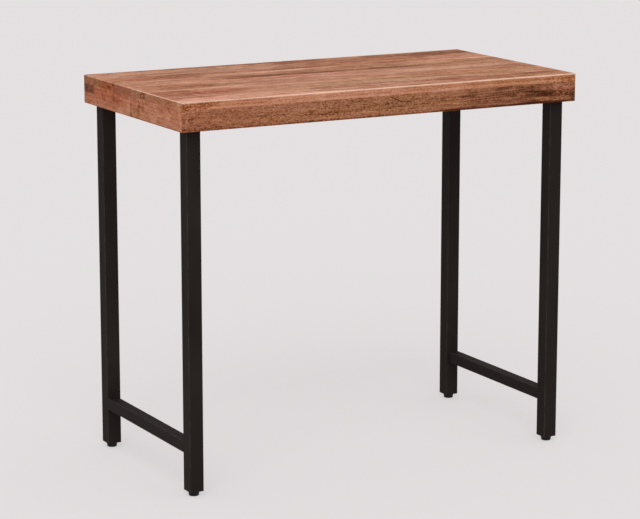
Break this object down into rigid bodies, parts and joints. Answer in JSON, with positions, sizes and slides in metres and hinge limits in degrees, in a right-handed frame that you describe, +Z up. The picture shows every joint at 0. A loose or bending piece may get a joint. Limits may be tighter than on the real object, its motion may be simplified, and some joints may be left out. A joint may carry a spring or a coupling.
{
  "type": "standing desk",
  "caption": "Standing desk: a thick top of glued staves on a jointed rail frame, carried by square steel tube legs with low side stretchers and levelling feet that screw out.",
  "frame": {"origin": "on the floor, under the middle of the top", "axes": "+X to the right along the desk, +Y from the front to the back, +Z up"},
  "size_m": [1.2, 0.62, 1.05],
  "materials": {
    "panel_wood": "satin oiled hardwood staves",
    "rail_wood": "satin oiled hardwood",
    "black_steel": "satin black powder coat",
    "black_screw": "black oxide",
    "zinc_steel": "zinc plated",
    "insert_brass": "turned brass",
    "plug_plastic": "moulded black nylon",
    "foot_plastic": "moulded black nylon"
  },
  "bodies": {
    "desk": {"top_stave_1": "panel_wood", "top_stave_2": "panel_wood", "top_stave_3": "panel_wood", "top_stave_4": "panel_wood", "top_stave_5": "panel_wood", "top_stave_6": "panel_wood", "front_rail": "rail_wood", "back_rail": "rail_wood", "left_rail": "rail_wood", "right_rail": "rail_wood", "centre_batten": "rail_wood", "front_left_mitre_key": "rail_wood", "front_right_mitre_key": "rail_wood", "batten_screws": "zinc_steel", "plate_screws": "black_screw", "plate_inserts": "insert_brass", "left_stretcher": "black_steel", "right_stretcher": "black_steel", "front_left_leg": "black_steel", "front_left_plate": "black_steel", "front_left_leg_plug": "plug_plastic", "front_right_leg": "black_steel", "front_right_plate": "black_steel", "front_right_leg_plug": "plug_plastic", "back_left_leg": "black_steel", "back_left_plate": "black_steel", "back_left_leg_plug": "plug_plastic", "back_right_leg": "black_steel", "back_right_plate": "black_steel", "back_right_leg_plug": "plug_plastic"},
    "front_left_stud": {"front_left_foot_stud": "zinc_steel"},
    "front_left_pad": {"front_left_foot_pad": "foot_plastic"},
    "front_right_stud": {"front_right_foot_stud": "zinc_steel"},
    "front_right_pad": {"front_right_foot_pad": "foot_plastic"},
    "back_left_stud": {"back_left_foot_stud": "zinc_steel"},
    "back_left_pad": {"back_left_foot_pad": "foot_plastic"},
    "back_right_stud": {"back_right_foot_stud": "zinc_steel"},
    "back_right_pad": {"back_right_foot_pad": "foot_plastic"}
  },
  "joints": [
    {"name": "front_left_foot_travel", "type": "slide", "parent": "desk", "child": "front_left_stud", "axis": [0, 0, -1], "range_m": [0, 0.01]},
    {"name": "front_left_foot_turn", "type": "hinge", "parent": "front_left_stud", "child": "front_left_pad", "pos_m": [-0.555, -0.265, 0], "axis": [0, 0, -1], "range_deg": [0, 2880]},
    {"name": "front_right_foot_travel", "type": "slide", "parent": "desk", "child": "front_right_stud", "axis": [0, 0, -1], "range_m": [0, 0.01]},
    {"name": "front_right_foot_turn", "type": "hinge", "parent": "front_right_stud", "child": "front_right_pad", "pos_m": [0.555, -0.265, 0], "axis": [0, 0, -1], "range_deg": [0, 2880]},
    {"name": "back_left_foot_travel", "type": "slide", "parent": "desk", "child": "back_left_stud", "axis": [0, 0, -1], "range_m": [0, 0.01]},
    {"name": "back_left_foot_turn", "type": "hinge", "parent": "back_left_stud", "child": "back_left_pad", "pos_m": [-0.555, 0.265, 0], "axis": [0, 0, -1], "range_deg": [0, 2880]},
    {"name": "back_right_foot_travel", "type": "slide", "parent": "desk", "child": "back_right_stud", "axis": [0, 0, -1], "range_m": [0, 0.01]},
    {"name": "back_right_foot_turn", "type": "hinge", "parent": "back_right_stud", "child": "back_right_pad", "pos_m": [0.555, 0.265, 0], "axis": [0, 0, -1], "range_deg": [0, 2880]}
  ],
  "couplings": [
    {"joint": "front_left_foot_travel", "follows": "front_left_foot_turn", "m_per_rad": 0.00019894},
    {"joint": "front_right_foot_travel", "follows": "front_right_foot_turn", "m_per_rad": 0.00019894},
    {"joint": "back_left_foot_travel", "follows": "back_left_foot_turn", "m_per_rad": 0.00019894},
    {"joint": "back_right_foot_travel", "follows": "back_right_foot_turn", "m_per_rad": 0.00019894}
  ]
}
